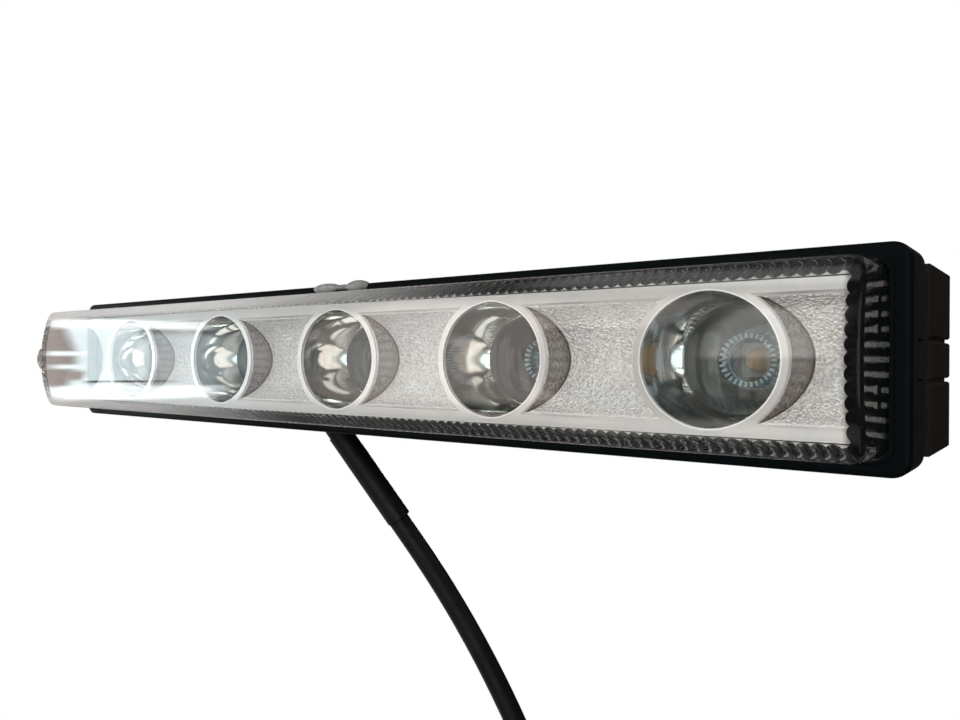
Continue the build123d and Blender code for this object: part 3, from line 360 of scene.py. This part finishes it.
def build_materials():
    """One material for each slot of the record."""
    return {
        "bezel_black": moulded("bezel_black", (0.0025, 0.004, 0.0045), (0.0025, 0.004, 0.0043), 0.22, 0.05,
                               2600.0, 0.000012, specular=0.025),
        "housing_black": moulded("housing_black", (0.006, 0.0045, 0.0035), (0.0085, 0.0065, 0.005),
                                 0.55, 0.08, 2200.0, 0.00005, specular=0.28),
        "clear_cover": clear("clear_cover", (0.988, 0.995, 0.992), 1.49, 0.00003, 45.0, haze=0.003,
                             daylight_haze=0.36, rim_reflection=0.55),
        "lens_clear": clear("lens_clear", (0.93, 0.955, 0.945), 1.5, 0.00002, 120.0, haze=0.005,
                            haze_color=(0.42, 0.46, 0.44)),
        "reflector_silver": reflector_metal(),
        "cup_mirror": cup_mirror(),
        "dome_silicone": emitter_dome(),
        "seal_silicone": seal_silicone(),
        "sealant": moulded("sealant", (0.10, 0.105, 0.10), (0.34, 0.35, 0.34), 0.3, 0.1, 900.0, 0.0004,
                           coat=0.3),
        "collar_ice": moulded("collar_ice", (0.42, 0.55, 0.62), (0.55, 0.66, 0.72), 0.25, 0.05, 1500.0),
        "emitter_ceramic": moulded("emitter_ceramic", (0.16, 0.17, 0.17), (0.22, 0.23, 0.22), 0.5),
        "board_dark": moulded("board_dark", (0.02, 0.028, 0.028), (0.03, 0.04, 0.038), 0.35),
        "pad_grey": moulded("pad_grey", (0.3, 0.32, 0.34), (0.36, 0.38, 0.4), 0.8),
        "sink_aluminium": moulded("sink_aluminium", (0.55, 0.56, 0.58), (0.66, 0.67, 0.68), 0.38, 0.08,
                                  1400.0, 0.00004, metallic=1.0, stretch=(0.05, 1.0, 1.0)),
        "board_green": moulded("board_green", (0.01, 0.11, 0.035), (0.015, 0.15, 0.05), 0.3),
        "ferrite_grey": moulded("ferrite_grey", (0.05, 0.05, 0.052), (0.08, 0.08, 0.08), 0.6),
        "copper_coil": moulded("copper_coil", (0.62, 0.25, 0.1), (0.75, 0.34, 0.16), 0.3, 0.08, 2200.0,
                               0.0001, metallic=1.0, stretch=(0.1, 1.0, 0.1)),
        "chip_black": moulded("chip_black", (0.02, 0.02, 0.021), (0.03, 0.03, 0.03), 0.55),
        "can_aluminium": moulded("can_aluminium", (0.6, 0.6, 0.61), (0.7, 0.7, 0.7), 0.28, metallic=1.0),
        "nylon_natural": moulded("nylon_natural", (0.68, 0.66, 0.58), (0.75, 0.73, 0.65), 0.45),
        "screw_steel": moulded("screw_steel", (0.5, 0.49, 0.46), (0.62, 0.6, 0.55), 0.3, 0.1, 900.0,
                               0.00005, metallic=1.0),
        "insert_brass": moulded("insert_brass", (0.66, 0.43, 0.14), (0.78, 0.55, 0.22), 0.28, 0.08, 900.0,
                                0.00005, metallic=1.0),
        "vent_grey": moulded("vent_grey", (0.03, 0.03, 0.031), (0.045, 0.045, 0.046), 0.6),
        "cable_black": moulded("cable_black", (0.004, 0.004, 0.0043), (0.007, 0.007, 0.0073), 0.45, 0.08,
                               1500.0, 0.00006, specular=0.22),
        "core_red": moulded("core_red", (0.45, 0.012, 0.01), (0.55, 0.02, 0.015), 0.35),
        "core_black": moulded("core_black", (0.012, 0.012, 0.012), (0.02, 0.02, 0.02), 0.35),
        "strand_copper": moulded("strand_copper", (0.7, 0.36, 0.2), (0.8, 0.5, 0.34), 0.3, 0.08, 3000.0,
                                 0.0002, metallic=1.0, stretch=(1.0, 1.0, 0.08)),
    }


def dress(made):
    """Give every CAD node the finish of its record slot."""
    slots = {part["node"]: part["material_slot"] for part in frame["record"]["subparts"]}
    for name, piece in nodes.items():
        piece.data.materials.clear()
        piece.data.materials.append(made[slots[name]])


# ---------------------------------------------------------------- surroundings
def bearing(tree, direction):
    """Heading in degrees around the bar: 0 along -X, 90 straight ahead along -Y, 180 along +X."""
    split = put(tree, "ShaderNodeSeparateXYZ", {"Vector": direction})
    turn = calc(tree, "ARCTAN2", calc(tree, "MULTIPLY", split.outputs["Y"], -1.0),
                calc(tree, "MULTIPLY", split.outputs["X"], -1.0))
    return calc(tree, "MULTIPLY", turn, DEGREES_PER_RADIAN), split.outputs["Z"]


def patch(tree, heading, rise, turn_range, rise_range, soft_turn, soft_rise):
    """1 inside a patch of the room, fading out over the soft widths."""
    low, high = turn_range
    inside = calc(tree, "MULTIPLY", ramp(tree, heading, low - soft_turn, low + soft_turn),
                  ramp(tree, heading, high + soft_turn, high - soft_turn))
    low, high = rise_range
    inside = calc(tree, "MULTIPLY", inside, ramp(tree, rise, low - soft_rise, low + soft_rise))
    return calc(tree, "MULTIPLY", inside, ramp(tree, rise, high + soft_rise, high - soft_rise))


# Areas of the room: heading range, rise range, softness of each, radiance. Later ones cover earlier ones.
ROOM = [
    ((-180.0, 180.0), (0.80, 1.2), 1.0, 0.05, (0.30, 0.30, 0.31)),      # ceiling
    ((50.0, 118.0), (0.62, 0.72), 3.0, 0.02, (1.3, 1.3, 1.28)),         # ceiling strip
    ((42.0, 68.0), (-0.40, 0.52), 2.5, 0.05, (1.45, 1.26, 1.17)),       # pale brown wall ahead
    ((68.0, 90.0), (-0.36, 0.50), 1.0, 0.05, (0.20, 0.172, 0.158)),     # the same wall in shade
    ((60.0, 69.0), (-0.60, 0.30), 1.0, 0.03, (0.02, 0.018, 0.017)),     # dark doorway
    ((71.0, 80.0), (0.02, 0.44), 1.0, 0.03, (1.9, 1.85, 1.8)),          # bright picture frame
    ((55.0, 125.0), (-0.64, -0.52), 3.0, 0.03, (0.95, 0.90, 0.86)),     # pale table edge, low
    ((47.0, 52.0), (-0.30, 0.50), 1.0, 0.05, (1.5, 1.45, 1.4)),         # pale door
    ((78.0, 88.5), (-0.60, 0.50), 1.2, 0.03, (0.02, 0.02, 0.02)),       # dark door
    ((89.0, 138.0), (-0.34, 0.46), 1.2, 0.04, (1.75, 1.71, 1.67)),      # wide pale curtain on the right
    ((-70.0, 12.0), (-0.90, 0.90), 3.0, 0.05, (0.28, 0.25, 0.24)),     # wall seen through the left end
    ((104.0, 110.0), (-0.40, 0.50), 1.0, 0.04, (0.05, 0.045, 0.04)),    # dark gap in the curtain
    ((124.0, 127.0), (-0.40, 0.50), 1.0, 0.04, (0.30, 0.20, 0.17)),     # brown post
]
# Seen in the left end of the crowned cover; headings here follow the crown's own distortion.
LEFT_SIDE = [
    ((31.0, 46.0), (-0.90, 0.90), 4.0, 0.05, (0.55, 0.60, 0.62)),       # daylight on the left wall
    ((8.0, 29.0), (-0.90, 0.90), 0.8, 0.05, (0.85, 0.66, 0.60)),        # cupboard
    ((29.4, 34.6), (-0.27, 0.29), 0.6, 0.03, (3.7, 4.3, 4.5)),          # window
    ((34.6, 40.0), (-0.25, 0.23), 1.5, 0.03, (1.9, 2.2, 2.35)),         # second pane
    ((28.0, 40.0), (0.275, 0.335), 1.5, 0.02, (5.5, 5.8, 6.0)),         # bright top of the window
    ((28.0, 41.0), (-0.345, -0.245), 1.5, 0.02, (5.5, 5.8, 6.0)),       # bright sill
    ((27.6, 30.5), (0.03, 0.07), 0.8, 0.012, (4.5, 4.8, 5.0)),          # streaks at the window's edge
    ((28.0, 30.5), (-0.09, -0.05), 0.8, 0.012, (4.2, 4.6, 4.8)),        # and below it
    ((29.0, 30.2), (-0.19, -0.11), 0.4, 0.02, (0.9, 0.62, 0.55)),       # brown frame of the window
    ((30.5, 37.0), (-0.215, -0.195), 0.6, 0.008, (0.35, 0.33, 0.33)),   # dark rail above the sill
]
CROWN_BEND = 66.0            # degrees of heading per squared rise
ROOM_LOW, ROOM_HIGH = (0.022, 0.019, 0.017), (0.035, 0.032, 0.030)     # dim walls, low and high
ROOM_RISE = (-0.6, 0.6)


def surroundings():
    """White to the camera; to everything else a dim room with a window on the left."""
    world = bpy.data.worlds.new("room")
    bpy.context.scene.world = world
    world.use_nodes = True
    tree = world.node_tree
    tree.nodes.clear()
    direction = put(tree, "ShaderNodeTexCoord").outputs["Generated"]
    heading, rise = bearing(tree, direction)
    color = mix_color(tree, ramp(tree, rise, *ROOM_RISE), ROOM_LOW, ROOM_HIGH)
    bent = calc(tree, "ADD", heading, calc(tree, "MULTIPLY", calc(tree, "MULTIPLY", rise, rise), CROWN_BEND))
    for turned, patches in ((heading, ROOM), (bent, LEFT_SIDE)):
        for turn_range, rise_range, soft_turn, soft_rise, tone in patches:
            mask = patch(tree, turned, rise, turn_range, rise_range, soft_turn, soft_rise)
            color = mix_color(tree, mask, color, tone)
    room = put(tree, "ShaderNodeBackground", {"Color": color, "Strength": 1.0})
    plain = put(tree, "ShaderNodeBackground", {"Color": (1, 1, 1, 1), "Strength": 1.0})
    path = put(tree, "ShaderNodeLightPath")
    both = put(tree, "ShaderNodeMixShader", {
        0: path.outputs["Is Camera Ray"], 1: room.outputs[0], 2: plain.outputs[0]})
    put(tree, "ShaderNodeOutputWorld", {"Surface": both.outputs[0]})


def floor():
    """Pale floor, plain white to the camera, seen through from below."""
    level = cad_box[0].z - FLOOR_GAP
    mesh = bpy.data.meshes.new("floor")
    corners = [(x * FLOOR_HALF, y * FLOOR_HALF, level) for x, y in ((-1, -1), (1, -1), (1, 1), (-1, 1))]
    mesh.from_pydata(corners, [], [(0, 1, 2, 3)])
    piece = bpy.data.objects.new("floor", mesh)
    bpy.context.scene.collection.objects.link(piece)
    material, tree = new_tree("floor_pale")
    plain = put(tree, "ShaderNodeEmission", {"Color": (1, 1, 1, 1), "Strength": 1.0})
    through = put(tree, "ShaderNodeBsdfTransparent")
    path = put(tree, "ShaderNodeLightPath")
    back = put(tree, "ShaderNodeNewGeometry").outputs["Backfacing"]
    seen = calc(tree, "MULTIPLY", path.outputs["Is Camera Ray"], calc(tree, "SUBTRACT", 1.0, back))
    both = put(tree, "ShaderNodeMixShader", {0: seen, 1: through.outputs[0], 2: plain.outputs[0]})
    finish(tree, both.outputs[0])
    mesh.materials.append(material)


def lamp(name, where, target, size_x, size_y, watts, color=(1, 1, 1), shiny=True):
    """Rectangular soft light; with shiny False it shows in no reflection and through no glass."""
    data = bpy.data.lights.new(name, "AREA")
    data.shape = "RECTANGLE"
    data.size = size_x
    data.size_y = size_y
    data.energy = watts
    data.color = color
    piece = bpy.data.objects.new(name, data)
    bpy.context.scene.collection.objects.link(piece)
    piece.location = where
    aim = Vector(target) - Vector(where)
    piece.rotation_euler = aim.to_track_quat("-Z", "Y").to_euler()
    piece.visible_camera = False
    piece.visible_glossy = shiny
    piece.visible_transmission = shiny


def lights():
    lamp("front_soft", (0.10, -0.95, 0.35), (0, 0, 0), 0.8, 0.6, 4.5, (1.0, 0.99, 0.97), shiny=False)
    lamp("right_soft", (0.85, -0.55, 0.15), (0, 0, 0), 0.5, 0.5, 2.0, (1.0, 0.97, 0.95), shiny=False)
    lamp("rim_soft", (0.75, 0.35, 0.6), (0, 0, 0), 0.4, 0.3, 1.0)
    lamp("back_soft", (-0.60, 0.80, 0.02), (0, 0.03, 0), 0.5, 0.4, 8.0)


CAMERA_AHEAD, CAMERA_X, CAMERA_Z = 0.15145, 0.14086, -0.00055      # in front of the bezel, metres
CAMERA_TURN, CAMERA_NOD, CAMERA_LEAN = 41.32, 0.2, 0.19              # degrees
CAMERA_LENS, CAMERA_SHIFT = 30.9, (0.12, 0.0046)


def camera():
    """Camera level with the bar, near its right end, looking back along it."""
    data = bpy.data.cameras.new("camera")
    data.sensor_width = 36.0
    data.lens = CAMERA_LENS
    data.shift_x, data.shift_y = CAMERA_SHIFT
    data.clip_start = 0.005
    piece = bpy.data.objects.new("camera", data)
    bpy.context.scene.collection.objects.link(piece)
    turn, nod, lean = radians(CAMERA_TURN), radians(CAMERA_NOD), radians(CAMERA_LEAN)
    ahead = Vector((-sin(turn) * cos(nod), cos(turn) * cos(nod), -sin(nod)))
    right = ahead.cross(Vector((0, 0, 1))).normalized()
    up = right.cross(ahead)
    side = right * cos(lean) + up * sin(lean)
    top = up * cos(lean) - right * sin(lean)
    matrix = Matrix((side, top, -ahead)).transposed().to_4x4()
    matrix.translation = Vector((CAMERA_X, BEZEL_FRONT - CAMERA_AHEAD, CAMERA_Z))
    piece.matrix_world = matrix
    bpy.context.scene.camera = piece


def settings():
    """Enough bounces for light to pass the cover and a lens twice."""
    scene = bpy.context.scene
    scene.view_settings.view_transform = "Standard"
    scene.cycles.transmission_bounces = 14
    scene.cycles.max_bounces = 18
    scene.cycles.glossy_bounces = 8
    scene.cycles.transparent_max_bounces = 16
    scene.cycles.sample_clamp_indirect = 6.0


dress(build_materials())
surroundings()
floor()
lights()
camera()
settings()
